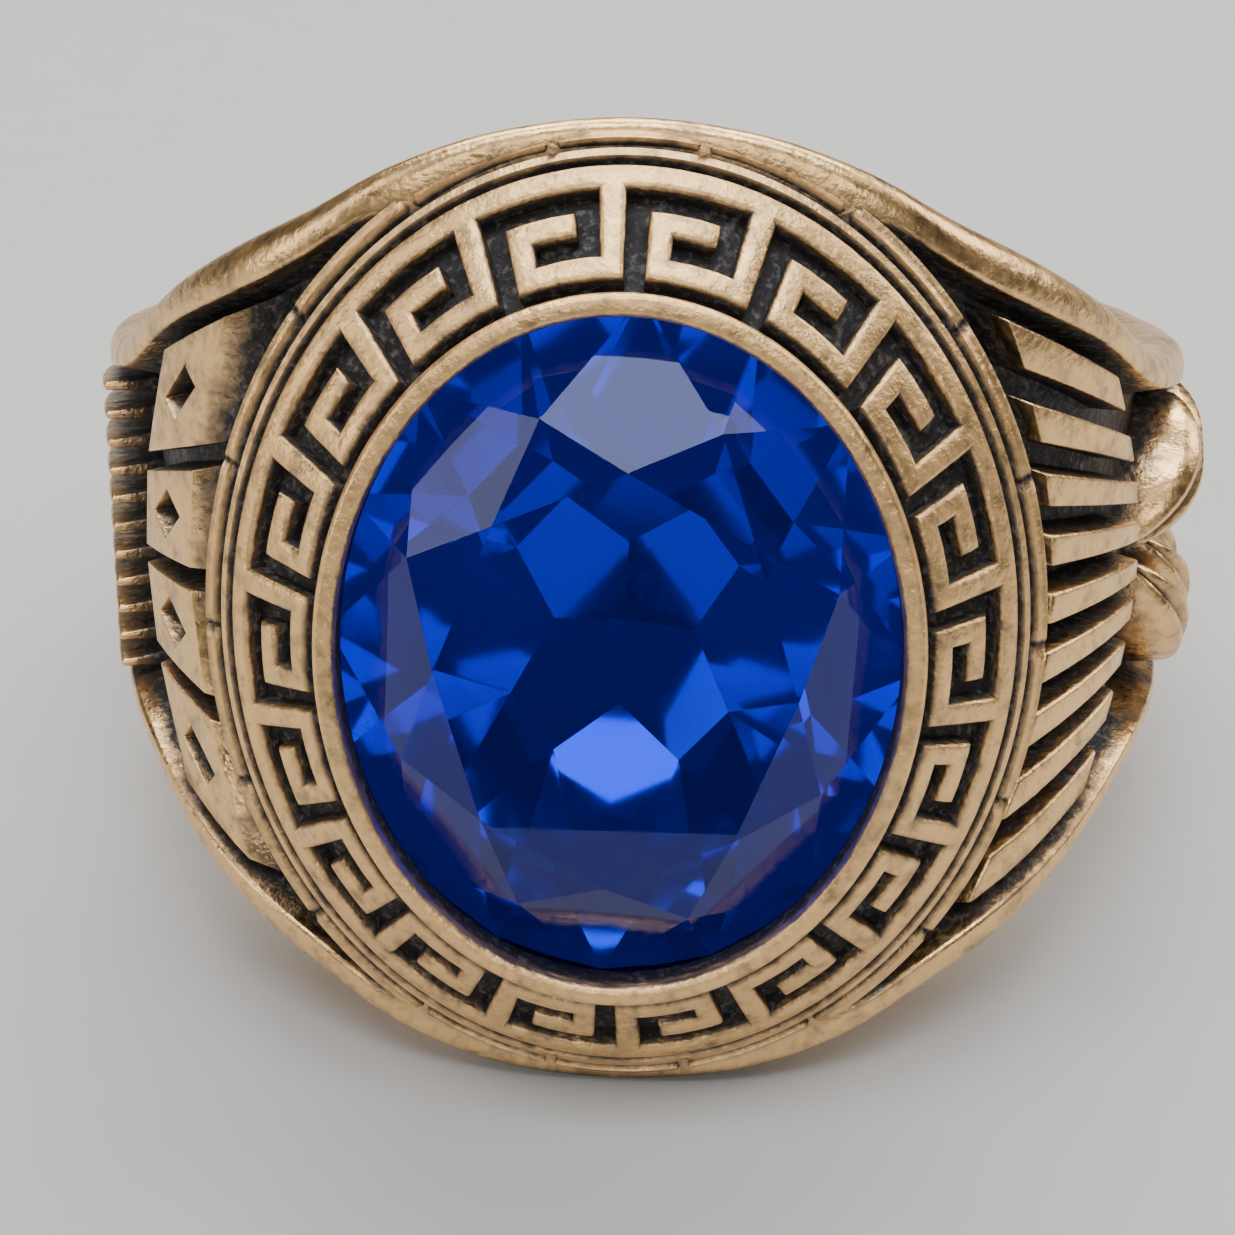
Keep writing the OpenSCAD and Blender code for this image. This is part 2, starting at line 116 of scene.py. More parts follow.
class RingFinish(bpy.types.PropertyGroup):
    """Colours of the metal, the stone and the floor"""
    gold: colour("Gold", "Polished gold on the high places", (0.94, 0.60, 0.26, 1))
    # Dull gold: a thin film on the flanks, partly painted shade where the metal is half hidden
    dull_gold: colour("Dull gold", "Gold with a thin film on it", (0.30, 0.205, 0.12, 1))
    # Antiquing: the ring's own dark film in its recesses, deepened by painted shade where the recesses are deep
    antiquing: colour("Antiquing", "Dark film in the recesses", (0.026, 0.023, 0.022, 1))
    stone: colour("Stone", "Colour that the stone lets through", (0.26, 0.36, 1.0, 1))
    foil: colour("Foil", "Mirror foil behind the stone's lower facets", (0.015, 0.16, 0.66, 1))
    # Light foil: a cyan tint on the half nearer the floor, a painted flash
    light_foil: colour("Light foil", "Foil behind the half nearer the floor", (0.006, 0.31, 0.44, 1))
    floor: colour("Floor", "Plain pale floor", (0.50, 0.50, 0.49, 1))


# ---------------------------------------------------------------- forms, in millimetres


# The lip's width, how far its outer edge lies below its top, and how far it reaches over the stone
LIP_WIDTH, LIP_EDGE, LIP_OVER = 0.4, 0.22, (0.26, 0.14)


def lerp(a, b, t):
    return a + (b - a) * t


def millimetres(sizes):
    """The sizes in millimetres, with what follows from them."""
    class Form:
        pass
    f = Form()
    for key in RingSizes.__annotations__:
        value = getattr(sizes, key)
        setattr(f, key, value if key == "keys" else value / MM)
    f.bore_r = f.bore / 2
    f.rim_n = f.bore_r + f.head_wall
    f.lip_n = f.rim_n + f.band_rise
    f.head_half = f.rim_length / 2 + f.cheek
    f.girdle_n = f.lip_n - f.girdle_drop
    f.lip_in = (f.stone_width / 2 - LIP_OVER[0], f.stone_length / 2 - LIP_OVER[1])
    f.lip_out = (f.lip_in[0] + LIP_WIDTH, f.lip_in[1] + LIP_WIDTH)
    f.band_run = (f.rim_width / 2 - f.lip_out[0] + f.rim_length / 2 - f.lip_out[1]) / 2
    f.band_climb = f.band_rise - LIP_EDGE
    f.band_len = math.hypot(f.band_run, f.band_climb)
    middle = band_row(f, 0.5, 0)
    f.band_round = 2 * math.pi * math.sqrt((middle[0] ** 2 + middle[1] ** 2) / 2)
    f.band_even = (middle[1] / middle[0] - 1) / 4
    return f


def band_row(f, s, h):
    """Half width, half length and height of the oval at share s from rim to lip, h over the ground."""
    lift = (h - f.relief) * f.band_climb / f.band_len
    return (lerp(f.rim_width / 2, f.lip_out[0], s) + lift,
            lerp(f.rim_length / 2, f.lip_out[1], s) + lift,
            lerp(f.rim_n, f.lip_n - LIP_EDGE, s) + (h - f.relief) * f.band_run / f.band_len)


def band_angle(f, x):
    """Angle round the oval for a distance along the band."""
    t = math.pi / 2 + x / f.band_round * 2 * math.pi
    return t - f.band_even * math.sin(2 * t)


# The cheek's rows: how far each lies below the crest and in from the widest place, as shares of the edge
CHEEK = ((0.02, 0.62), (0.08, 0.42), (0.19, 0.24), (0.36, 0.11), (0.6, 0.03), (0.9, 0))
FIELD_DRAFT, FOOT_ROUND, CREST_ROUND, MOUTH_ROUND = 0.25, 0.08, 0.1, 0.35

# Sections of the shank from the stone to the back. Walls and widths are shares of the sizes at the
# head, the sides and the back; edge, field and lean shape the cheek.
SHANK_COLUMNS = ("angle", "wall_head", "wall_side", "wall_back", "width_head", "width_side", "width_back",
                 "edge", "field", "lean")
SHANK_ROWS = (
    (0, 1.00, 0.00, 0.00, 1.00, 0.00, 0.00, 0.30, 0, 0.42),
    (10, 1.07, 0.00, 0.00, 0.97, 0.00, 0.00, 0.36, 0, 0.38),
    (18, 1.17, 0.00, 0.00, 0.90, 0.00, 0.00, 0.60, 0, 0.32),
    (24, 1.21, 0.00, 0.00, 0.82, 0.00, 0.00, 0.80, 1, 0.28),
    (32, 1.18, 0.00, 0.00, 0.71, 0.05, 0.00, 0.86, 1, 0.24),
    (40, 0.85, 0.43, 0.00, 0.54, 0.23, 0.00, 0.78, 1, 0.20),
    (50, 0.55, 0.76, 0.00, 0.31, 0.46, 0.00, 0.72, 1, 0.16),
    (60, 0.30, 0.98, 0.00, 0.16, 0.70, 0.00, 0.72, 1, 0.12),
    (70, 0.12, 1.10, 0.00, 0.07, 0.88, 0.00, 0.76, 1, 0.10),
    (80, 0.03, 1.08, 0.00, 0.02, 0.97, 0.00, 0.82, 1, 0.08),
    (90, 0.00, 1.00, 0.00, 0.00, 1.00, 0.00, 0.90, 1, 0.08),
    (100, 0.00, 0.76, 0.24, 0.00, 0.94, 0.06, 0.85, 0.5, 0.08),
    (110, 0.00, 0.50, 0.50, 0.00, 0.78, 0.24, 0.80, 0, 0.08),
    (130, 0.00, 0.18, 0.82, 0.00, 0.42, 0.64, 0.70, 0, 0.08),
    (150, 0.00, 0.00, 1.00, 0.00, 0.14, 0.95, 0.65, 0, 0.08),
    (165, 0.00, 0.00, 1.00, 0.00, 0.03, 0.99, 0.60, 0, 0.08),
    (180, 0.00, 0.00, 1.00, 0.00, 0.00, 1.00, 0.60, 0, 0.08),
)


def shank(column, angle):
    """Smooth reading of a column of the sections at an angle in degrees."""
    c, a = SHANK_COLUMNS.index(column), abs(angle)
    last = len(SHANK_ROWS) - 1
    i = next((k for k in range(last) if a <= SHANK_ROWS[k + 1][0]), last - 1)

    def slope(k):
        if k in (0, last):
            return 0
        low, high = SHANK_ROWS[k - 1], SHANK_ROWS[k + 1]
        return (high[c] - low[c]) / (high[0] - low[0])

    run = SHANK_ROWS[i + 1][0] - SHANK_ROWS[i][0]
    t = (a - SHANK_ROWS[i][0]) / run
    return (lerp(SHANK_ROWS[i][c], SHANK_ROWS[i + 1][c], t * t * (3 - 2 * t))
            + slope(i) * run * t * (1 - t) ** 2 - slope(i + 1) * run * t * t * (1 - t))


def wall(f, a):
    return (shank("wall_head", a) * f.head_wall + shank("wall_side", a) * f.side_wall
            + shank("wall_back", a) * f.back_wall)


def outer_r(f, a):
    return f.bore_r + wall(f, a)


def half_width(f, a):
    return (shank("width_head", a) * f.head_half
            + (shank("width_side", a) * f.side_width + shank("width_back", a) * f.back_width) / 2)


def field_depth(f, a):
    return max(0, min(1, shank("field", a))) * f.field


def fillet(before, corner, after, size, count):
    """Points of a rounded corner."""
    start = corner + (before - corner).normalized() * min(size, (before - corner).length * 0.45)
    end = corner + (after - corner).normalized() * min(size, (after - corner).length * 0.45)
    points = []
    for i in range(count):
        t = i / (count - 1)
        points.append(start * (1 - t) ** 2 + corner * 2 * t * (1 - t) + end * t * t)
    return points


def half_section(f, a):
    """Points from the middle of the outside, over the crest and the cheek, to the middle of the bore."""
    r, w, e = outer_r(f, a), half_width(f, a), shank("edge", a)
    d = field_depth(f, a)
    floor, inner = w - e - FIELD_DRAFT, w - shank("lean", a) * wall(f, a)
    middle = Vector((r - d, 0))
    foot = Vector((r - d, floor))
    crest = Vector((r, w - e))
    cheek = [Vector((r - down * e, w - back * e)) for down, back in CHEEK]
    mouth = Vector((f.bore_r, inner))
    bore = Vector((f.bore_r, 0))
    return ([middle.lerp(foot, t) for t in (0, 0.25, 0.5, 0.75, 0.93)]
            + fillet(middle, foot, crest, FOOT_ROUND, 3)
            + [foot.lerp(crest, 0.5)]
            + fillet(foot, crest, cheek[0], CREST_ROUND, 5)
            + cheek
            + [cheek[-1].lerp(mouth, t) for t in (0.35, 0.7)]
            + fillet(cheek[-1], mouth, bore, MOUTH_ROUND, 6)
            + [mouth.lerp(bore, t) for t in (0.35, 0.7, 1)])


# ---------------------------------------------------------------- modelling helpers


def deselect():
    if bpy.context.mode != "OBJECT":
        bpy.ops.object.mode_set(mode="OBJECT")
    for piece in bpy.context.view_layer.objects:
        piece.select_set(False)


def begin(name):
    """Names the primitive that was just added and opens it for editing."""
    piece = bpy.context.object
    piece.name = piece.data.name = name
    bpy.ops.object.mode_set(mode="EDIT")
    return piece


def choose(piece, test, kind="VERT"):
    """Selects the vertices, edges or faces whose middle passes the test."""
    bpy.ops.object.mode_set(mode="EDIT")
    bpy.ops.mesh.select_mode(type=kind)
    bpy.ops.mesh.select_all(action="DESELECT")
    bpy.ops.object.mode_set(mode="OBJECT")
    mesh = piece.data
    if kind == "VERT":
        for v in mesh.vertices:
            v.select = test(v.co)
    elif kind == "EDGE":
        for edge in mesh.edges:
            a, b = (mesh.vertices[i].co for i in edge.vertices)
            edge.select = test((a + b) / 2, (b - a).normalized())
    else:
        for face in mesh.polygons:
            face.select = test(face.center, face.normal)
    bpy.ops.object.mode_set(mode="EDIT")


def shape(piece, place):
    """Moves each vertex to the place that a function gives."""
    bpy.ops.object.mode_set(mode="OBJECT")
    for v in piece.data.vertices:
        v.co = place(v.co.copy())
    piece.data.update()


def close_up(piece, distance=1e-6):
    """Merges doubles and turns the faces outwards."""
    bpy.ops.object.mode_set(mode="EDIT")
    bpy.ops.mesh.select_all(action="SELECT")
    bpy.ops.mesh.remove_doubles(threshold=distance)
    bpy.ops.mesh.normals_make_consistent(inside=False)
    bpy.ops.object.mode_set(mode="OBJECT")


def join(pieces, name):
    deselect()
    for piece in pieces:
        piece.select_set(True)
    bpy.context.view_layer.objects.active = pieces[0]
    if len(pieces) > 1:
        bpy.ops.object.join()
    pieces[0].name = pieces[0].data.name = name
    return pieces[0]


def apply_modifiers(piece):
    deselect()
    piece.select_set(True)
    bpy.context.view_layer.objects.active = piece
    for modifier in list(piece.modifiers):
        bpy.ops.object.modifier_apply(modifier=modifier.name)


def remember_height(piece, height):
    """Keeps in an attribute how high each place stands over its ground, from 0 to 1."""
    bpy.ops.object.mode_set(mode="OBJECT")
    layer = piece.data.attributes.new("height", "FLOAT", "POINT")
    for v, value in zip(piece.data.vertices, layer.data):
        value.value = max(0.0, min(1.0, height(v.co / MM)))


def hand_over(piece, node, material, angle=35):
    """Lays the finished piece where the CAD node lies and gives it its finish."""
    deselect()
    piece.select_set(True)
    bpy.context.view_layer.objects.active = piece
    if angle:
        bpy.ops.object.shade_smooth_by_angle(angle=math.radians(angle))
    else:
        bpy.ops.object.shade_flat()
    piece.data.transform(LYING)
    piece.data.materials.clear()
    piece.data.materials.append(material)
    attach(piece, "root")
    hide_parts(node)
    deselect()


def oval_tower(name, rows, sides=180, closed=True):
    """An oval loop, extruded up through rows of half width, half length and height."""
    deselect()
    bpy.ops.mesh.primitive_circle_add(vertices=sides, radius=MM)
    piece = begin(name)
    w, l, n = rows[0]
    bpy.ops.mesh.select_all(action="SELECT")
    bpy.ops.transform.resize(value=(w, l, 1), center_override=(0, 0, 0))
    bpy.ops.transform.translate(value=(0, 0, n * MM))
    for w1, l1, n1 in rows[1:]:
        bpy.ops.mesh.extrude_edges_move()
        bpy.ops.transform.resize(value=(w1 / w, l1 / l, 1), center_override=(0, 0, n * MM))
        bpy.ops.transform.translate(value=(0, 0, (n1 - n) * MM))
        w, l, n = w1, l1, n1
    if closed:
        choose(piece, lambda co: abs(co.z - rows[0][2] * MM) < 1e-7 or abs(co.z - n * MM) < 1e-7)
        bpy.ops.mesh.select_mode(type="EDGE")
        bpy.ops.mesh.bridge_edge_loops()
    else:
        bpy.ops.mesh.select_all(action="SELECT")
        bpy.ops.mesh.select_mode(type="EDGE")
        bpy.ops.mesh.select_all(action="DESELECT")
        bpy.ops.mesh.select_non_manifold()
        bpy.ops.mesh.edge_face_add()
    close_up(piece)
    return piece


# ---------------------------------------------------------------- materials


def node_group(name, inputs, outputs):
    group = bpy.data.node_groups.new(name, "ShaderNodeTree")
    for label, kind, default in inputs:
        socket = group.interface.new_socket(name=label, in_out="INPUT", socket_type=kind)
        if default is not None:
            socket.default_value = default
    for label, kind in outputs:
        group.interface.new_socket(name=label, in_out="OUTPUT", socket_type=kind)
    return group, group.nodes.new("NodeGroupInput"), group.nodes.new("NodeGroupOutput")


def add(tree, kind, links=(), **values):
    """A node with settings by attribute name, and inputs linked or set by position."""
    node = tree.nodes.new(kind)
    for key, value in values.items():
        setattr(node, key, value)
    for index, source in links:
        if isinstance(source, (int, float, tuple)):
            node.inputs[index].default_value = source
        else:
            tree.links.new(source, node.inputs[index])
    return node


def noise(tree, coords, scale, detail, roughness=0.6):
    """Noise from 0 to 1; its scale is in repeats per metre."""
    node = add(tree, "ShaderNodeTexNoise", [(0, coords), (2, scale), (3, detail), (4, roughness)])
    return node.outputs["Fac"]


def ramp(tree, source, low, high, start, end, **how):
    """A value between low and high, stretched to lie between start and end."""
    values = [(0, source), (1, low), (2, high), (3, start), (4, end)]
    return add(tree, "ShaderNodeMapRange", values, **how).outputs[0]


def maths(tree, operation, *values):
    return add(tree, "ShaderNodeMath", list(enumerate(values)), operation=operation).outputs[0]


def blend(tree, share, first, second):
    """A colour between two colours."""
    return add(tree, "ShaderNodeMix", [(0, share), (6, first), (7, second)], data_type="RGBA").outputs[2]


def film_and_shade_group():
    """Dark film in the recesses and thin film on the flanks, partly the ring's antiquing and partly painted shade
    where the occlusion is deep, and bare metal on the high places.
    """
    name = "antique_film"
    if name in bpy.data.node_groups:
        return bpy.data.node_groups[name]
    group, given, out = node_group(name, (
        ("Metal", "NodeSocketColor", (0.8, 0.6, 0.3, 1)), ("Dull Metal", "NodeSocketColor", (0.3, 0.2, 0.1, 1)),
        ("Film", "NodeSocketColor", (0.02, 0.02, 0.02, 1)), ("Height", "NodeSocketFloat", 1.0),
        ("Reach", "NodeSocketFloat", 0.5 * MM), ("Grain", "NodeSocketFloat", 0.3),
        ("Satin", "NodeSocketFloat", 0.3)),
        (("Color", "NodeSocketColor"), ("Roughness", "NodeSocketFloat"), ("Metallic", "NodeSocketFloat"),
         ("Normal", "NodeSocketVector")))
    coords = add(group, "ShaderNodeTexCoord").outputs["Object"]
    turned = add(group, "ShaderNodeMapping", [(0, coords), (2, (0.3, 0.9, 0.2)), (3, (0.6, 2.2, 1.0))]).outputs[0]
    blotch = noise(group, coords, 1500.0, 3.0, 0.65)
    mottle = noise(group, coords, 3200.0, 2.0)
    grit = noise(group, coords, 6500.0, 2.0)
    scratch = noise(group, turned, 2400.0, 2.0)
    crease = add(group, "ShaderNodeAmbientOcclusion", [(0, (1, 1, 1, 1)), (1, given.outputs["Reach"])], samples=3)
    # Height and openness together say how much film is left: antiquing on the ground, painted shade where the
    # occlusion is deep; noise breaks up its edge
    open_air = ramp(group, crease.outputs["AO"], 0.42, 0.92, 0.0, 1.0)
    high = ramp(group, given.outputs["Height"], 0.45, 0.98, 0.0, 1.0)
    bare = maths(group, "MULTIPLY", open_air, high)
    patches = maths(group, "ADD", maths(group, "ADD", blotch, mottle), -1.0)
    ragged = maths(group, "MULTIPLY_ADD", patches, 0.95, bare)
    film_and_shade = ramp(group, ragged, 0.12, 0.55, 1.0, 0.0, interpolation_type="SMOOTHSTEP")
    # Half-hidden metal turns to dull gold: partly a thin film, partly painted shade
    dull_and_shade = ramp(group, ragged, 0.5, 1.12, 1.0, 0.0, interpolation_type="SMOOTHSTEP")
    metal = blend(group, dull_and_shade, given.outputs["Metal"], given.outputs["Dull Metal"])
    glint = ramp(group, grit, 0.52, 0.72, 0.0, 0.8)
    speckled = blend(group, glint, given.outputs["Film"], (0.17, 0.155, 0.15, 1))
    group.links.new(blend(group, film_and_shade, metal, speckled), out.inputs["Color"])
    rough = ramp(group, scratch, 0.3, 0.7, -0.06, 0.1)
    rough = maths(group, "ADD", rough, given.outputs["Satin"])
    group.links.new(maths(group, "MULTIPLY_ADD", film_and_shade, 0.25, rough), out.inputs["Roughness"])
    group.links.new(ramp(group, film_and_shade, 0.2, 1.0, 1.0, 0.25), out.inputs["Metallic"])
    # The ground is rough, the bare metal has the soft unevenness and the grain of a casting
    depth = maths(group, "SUBTRACT", 1.0, high)
    sandy = maths(group, "MULTIPLY_ADD", grit, 0.5, mottle)
    ground = maths(group, "MULTIPLY", sandy, depth)
    cast = maths(group, "MULTIPLY_ADD", blotch, 0.6, ground)
    fine = maths(group, "MULTIPLY_ADD", grit, given.outputs["Grain"], cast)
    bump = add(group, "ShaderNodeBump", [(0, 0.7), (1, 0.07 * MM), (3, fine)])
    group.links.new(bump.outputs[0], out.inputs["Normal"])
    return group


def antiqued_and_shaded_gold(name, finish, grain=0.3, reach=0.5, satin=0.3):
    """Gold with dark antiquing and painted shade in its recesses; the metal's height over its ground is read from the
    piece's attribute.
    """
    if name in bpy.data.materials:
        return bpy.data.materials[name]
    material = bpy.data.materials.new(name)
    material.use_nodes = True
    tree = material.node_tree
    shader = tree.nodes["Principled BSDF"]
    height = add(tree, "ShaderNodeAttribute", attribute_name="height")
    film_and_shade = add(tree, "ShaderNodeGroup", node_tree=film_and_shade_group())
    film_and_shade.inputs["Metal"].default_value = finish.gold
    film_and_shade.inputs["Dull Metal"].default_value = finish.dull_gold
    film_and_shade.inputs["Film"].default_value = finish.antiquing
    film_and_shade.inputs["Reach"].default_value = reach * MM
    film_and_shade.inputs["Grain"].default_value = grain
    film_and_shade.inputs["Satin"].default_value = satin
    tree.links.new(height.outputs["Fac"], film_and_shade.inputs["Height"])
    for source, target in (("Color", "Base Color"), ("Roughness", "Roughness"), ("Metallic", "Metallic"),
                           ("Normal", "Normal")):
        tree.links.new(film_and_shade.outputs[source], shader.inputs[target])
    return material


def grained_gold(finish):
    """The coarser gold of the head and its border."""
    return antiqued_and_shaded_gold("grained_gold", finish, grain=0.55, reach=0.35, satin=0.42)


def blue_gem(finish):
    """Clear polished glass that soaks up all but the blue."""
    material = bpy.data.materials.new("blue_gem")
    material.use_nodes = True
    tree = material.node_tree
    shader = tree.nodes["Principled BSDF"]
    shader.inputs["Base Color"].default_value = finish.stone
    shader.inputs["IOR"].default_value = 1.53
    shader.inputs["Transmission Weight"].default_value = 1.0
    # The stone's reflections are tinted blue: painted colour in the mirrored light
    shader.inputs["Specular Tint"].default_value = (0.62, 0.68, 1.0, 1)
    coords = add(tree, "ShaderNodeTexCoord").outputs["Object"]
    wear = ramp(tree, noise(tree, coords, 700.0, 3.0), 0.45, 0.75, 0.0, 0.05)
    tree.links.new(wear, shader.inputs["Roughness"])
    soak = add(tree, "ShaderNodeVolumeAbsorption")
    soak.inputs["Color"].default_value = (0.07, 0.50, 0.96, 1)
    soak.inputs["Density"].default_value = 420.0
    tree.links.new(soak.outputs[0], tree.nodes["Material Output"].inputs["Volume"])
    return material


def foil_back(finish):
    """Thin mirror foil, tinted by the glass in front of it, cyan on the half nearer the floor as a painted flash,
    with a faint painted glow.
    """
    material = bpy.data.materials.new("foil_back")
    material.use_nodes = True
    tree = material.node_tree
    shader = tree.nodes["Principled BSDF"]
    shader.inputs["Metallic"].default_value = 1.0
    # A faint painted blue glow of the foil stands for the little blue that the glass scatters
    shader.inputs["Emission Color"].default_value = (0.003, 0.03, 1.0, 1)
    shader.inputs["Emission Strength"].default_value = 0.07
    coords = add(tree, "ShaderNodeTexCoord").outputs["Object"]
    place = add(tree, "ShaderNodeSeparateXYZ", [(0, coords)])
    # The half nearer the floor is tinted cyan: a painted flash
    lower = ramp(tree, place.outputs["Z"], 8.0 * MM, 6.2 * MM, 0.0, 1.0)
    tint = blend(tree, lower, tuple(finish.foil), tuple(finish.light_foil))
    tree.links.new(tint, shader.inputs["Base Color"])
    worn = ramp(tree, noise(tree, coords, 500.0, 3.0), 0.3, 0.7, 0.04, 0.09)
    tree.links.new(worn, shader.inputs["Roughness"])
    return material


def pale_floor(finish):
    """Smooth pale paper with a faint tooth."""
    material = bpy.data.materials.new("pale_floor")
    material.use_nodes = True
    tree = material.node_tree
    shader = tree.nodes["Principled BSDF"]
    coords = add(tree, "ShaderNodeTexCoord").outputs["Object"]
    tooth = noise(tree, coords, 400.0, 3.0)
    shade = tuple(0.93 * c for c in finish.floor[:3]) + (1,)
    tree.links.new(blend(tree, tooth, tuple(finish.floor), shade), shader.inputs["Base Color"])
    bump = add(tree, "ShaderNodeBump", [(0, 0.15), (1, 0.05 * MM), (3, tooth)])
    tree.links.new(bump.outputs[0], shader.inputs["Normal"])
    shader.inputs["Roughness"].default_value = 0.62
    return material


# ---------------------------------------------------------------- pieces


# Shares of the stone's radius at which its facets meet, and the turn of its facets in the lip
TABLE, STAR, TIP, KNEE, KNEE_ANGLE = 0.595, 0.76, 0.25, 0.45, 30
ROUND_R, FACET_TURN = 5, -3


def stone_heights(f):
    """Heights from the girdle of the star tips, and of the tips and knees of the pavilion's facets."""
    x, y = KNEE * math.cos(math.radians(KNEE_ANGLE)), KNEE * math.sin(math.radians(KNEE_ANGLE))
    slope = f.pavilion * (x - TIP) / ((1 - TIP) * (x + y) - TIP * (1 - x))
    star = f.crown * (1 - STAR * math.cos(math.radians(22.5))) / (1 - TABLE)
    return star, slope * TIP - f.pavilion, slope * (x + y) - f.pavilion


# Clearance round the girdle and below the facets, the hole at the well's back as a share of the stone, and
# how far its straight part reaches past the bore
GIRDLE_GAP, SEAT_GAP, BACK_HOLE, BACK_HOLE_DEPTH = 0.06, 0.12, 0.1, 0.25


def well_rows(f):
    """Ovals of the well under the stone, from the small hole at its back up to its groove."""
    wide, long = f.stone_width / 2 + GIRDLE_GAP, f.stone_length / 2 + GIRDLE_GAP
    low = f.girdle_n - f.girdle - GIRDLE_GAP
    _, tip, knee = stone_heights(f)
    hole = (wide * BACK_HOLE, long * BACK_HOLE)
    rows = [hole + (0,), hole + (f.bore_r + BACK_HOLE_DEPTH,)]
    for share, n in ((TIP, tip), (KNEE, knee)):
        rows.append((share * f.stone_width / 2 + SEAT_GAP, share * f.stone_length / 2 + SEAT_GAP, low + n))
    return rows + [(wide, long, low), (wide, long, f.girdle_n + GIRDLE_GAP)]


SHANK_STEPS = 180
# Degrees from the stone past which the sunk field is nearly bare, and how much film and painted shade is left on it
# there
ORNAMENT_END, FIELD_FILM_AND_SHADE = 56, 0.2


class RING_OT_shank(bpy.types.Operator):
    """Shank: a loop spun round the finger, shaped into the sections of the casting"""
    bl_idname = "ring.shank"
    bl_label = "Shank"

    def execute(self, context):
        f = millimetres(context.scene.ring_sizes)
        count = 2 * (len(half_section(f, 0)) - 1)
        middle = f.bore_r + 2
        deselect()
        bpy.ops.mesh.primitive_circle_add(vertices=count, radius=MM, location=(0, 0, middle * MM),
                                          rotation=(0, math.pi / 2, 0))
        piece = begin("shank")
        bpy.ops.object.mode_set(mode="OBJECT")
        bpy.ops.object.transform_apply(location=True, rotation=True, scale=True)
        bpy.ops.object.mode_set(mode="EDIT")
        bpy.ops.mesh.select_all(action="SELECT")
        bpy.ops.mesh.spin(steps=SHANK_STEPS, angle=2 * math.pi, center=(0, 0, 0), axis=(0, 1, 0), use_auto_merge=True)
        halves = {}

        def into_section(co):
            a = math.degrees(math.atan2(co.x, co.z))
            t = math.atan2(co.y, math.hypot(co.x, co.z) - middle * MM)
            key = round(abs(a), 3)
            if key not in halves:
                halves[key] = half_section(f, key)
            r, y = halves[key][min(count // 2, round(abs(t) / (2 * math.pi) * count))]
            turn = math.radians(a)
            return Vector((r * math.sin(turn), math.copysign(y, co.y), r * math.cos(turn))) * MM

        shape(piece, into_section)
        close_up(piece)
        cutter = oval_tower("well_cutter", well_rows(f) + [(f.stone_width / 2, f.stone_length / 2, f.lip_n + 1)],
                            sides=72, closed=False)
        cut = piece.modifiers.new("well", "BOOLEAN")
        cut.operation, cut.solver, cut.object = "DIFFERENCE", "EXACT", cutter
        apply_modifiers(piece)
        bpy.data.objects.remove(cutter)

        def height(p):
            a = math.degrees(math.atan2(p.x, p.z))
            r, depth = math.hypot(p.x, p.z), field_depth(f, a)
            edge = half_width(f, a) - shank("edge", a)
            if depth < 0.05 or abs(p.y) > edge or r < outer_r(f, a) - depth - 0.1:
                return 1
            if abs(a) > ORNAMENT_END:
                return 1 - FIELD_FILM_AND_SHADE * depth / f.field
            return 1 - (outer_r(f, a) - r) / depth

        remember_height(piece, height)
        hand_over(piece, "ring_body", antiqued_and_shaded_gold("filmed_gold", context.scene.ring_finish))
        return {"FINISHED"}


# The rim's rows: share of the way up to the lip, and depth below the top of the relief
RIM_ROWS = ((-0.06, 0.2), (-0.05, 0.05), (-0.038, -0.03), (-0.022, 0.0), (0.03, 0.0), (0.045, -0.03),
            (0.058, 0.02), (0.066, 0.15), (0.084, 0.15), (0.092, 0.06), (0.105, 0.01), (0.15, 0.01),
            (0.163, 0.06), (0.172, 0.25), (0.182, 0.4))
# Rows of the band's ground and of the foot of the lip, and rows of the lip in from its edge and below its top
GROUND_ROWS = ((0.35, 0), (0.55, 0), (0.75, 0), (0.94, 0), (0.965, 0.02), (0.985, 0.14))
LIP_ROWS = ((0.01, 0.16), (0.035, 0.07), (0.075, 0.02), (0.13, 0), (0.27, 0), (0.33, 0.015), (0.375, 0.06),
            (0.398, 0.14), (0.4, 0.34))
NOTCH_WIDTH, NOTCH_DEPTH = 0.03, 0.17
HAIR = 0.002  # by which the head's well is wider than the shank's


